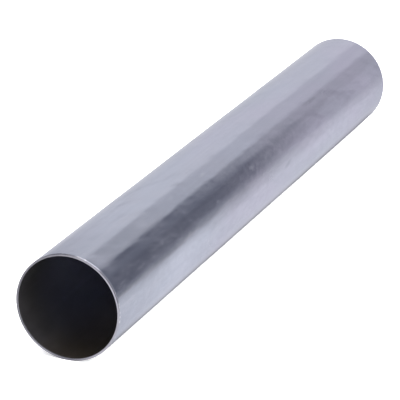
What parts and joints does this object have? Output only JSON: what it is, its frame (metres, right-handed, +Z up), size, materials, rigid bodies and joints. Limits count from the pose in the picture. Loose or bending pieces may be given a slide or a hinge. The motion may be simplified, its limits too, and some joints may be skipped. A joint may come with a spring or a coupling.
{
  "type": "steel conduit pipe",
  "caption": "Straight thin-walled round steel conduit pipe, open at both ends, with square-cut, deburred ends and a smooth bore for pulling cables through.",
  "frame": {"origin": "on the floor that the pipe lies on, straight below the middle of the pipe's own axis", "axes": "+X along the pipe's axis, from one cut end to the other; +Z up; the axis is at y = 0 and z = half the outside diameter"},
  "size_m": [0.65, 0.0888, 0.0889],
  "materials": {
    "zinc_steel": "satin zinc-plated steel, faint lengthwise drawing lines, dark lining inside the bore"
  },
  "bodies": {
    "root": {"conduit_pipe": "zinc_steel"}
  },
  "joints": []
}
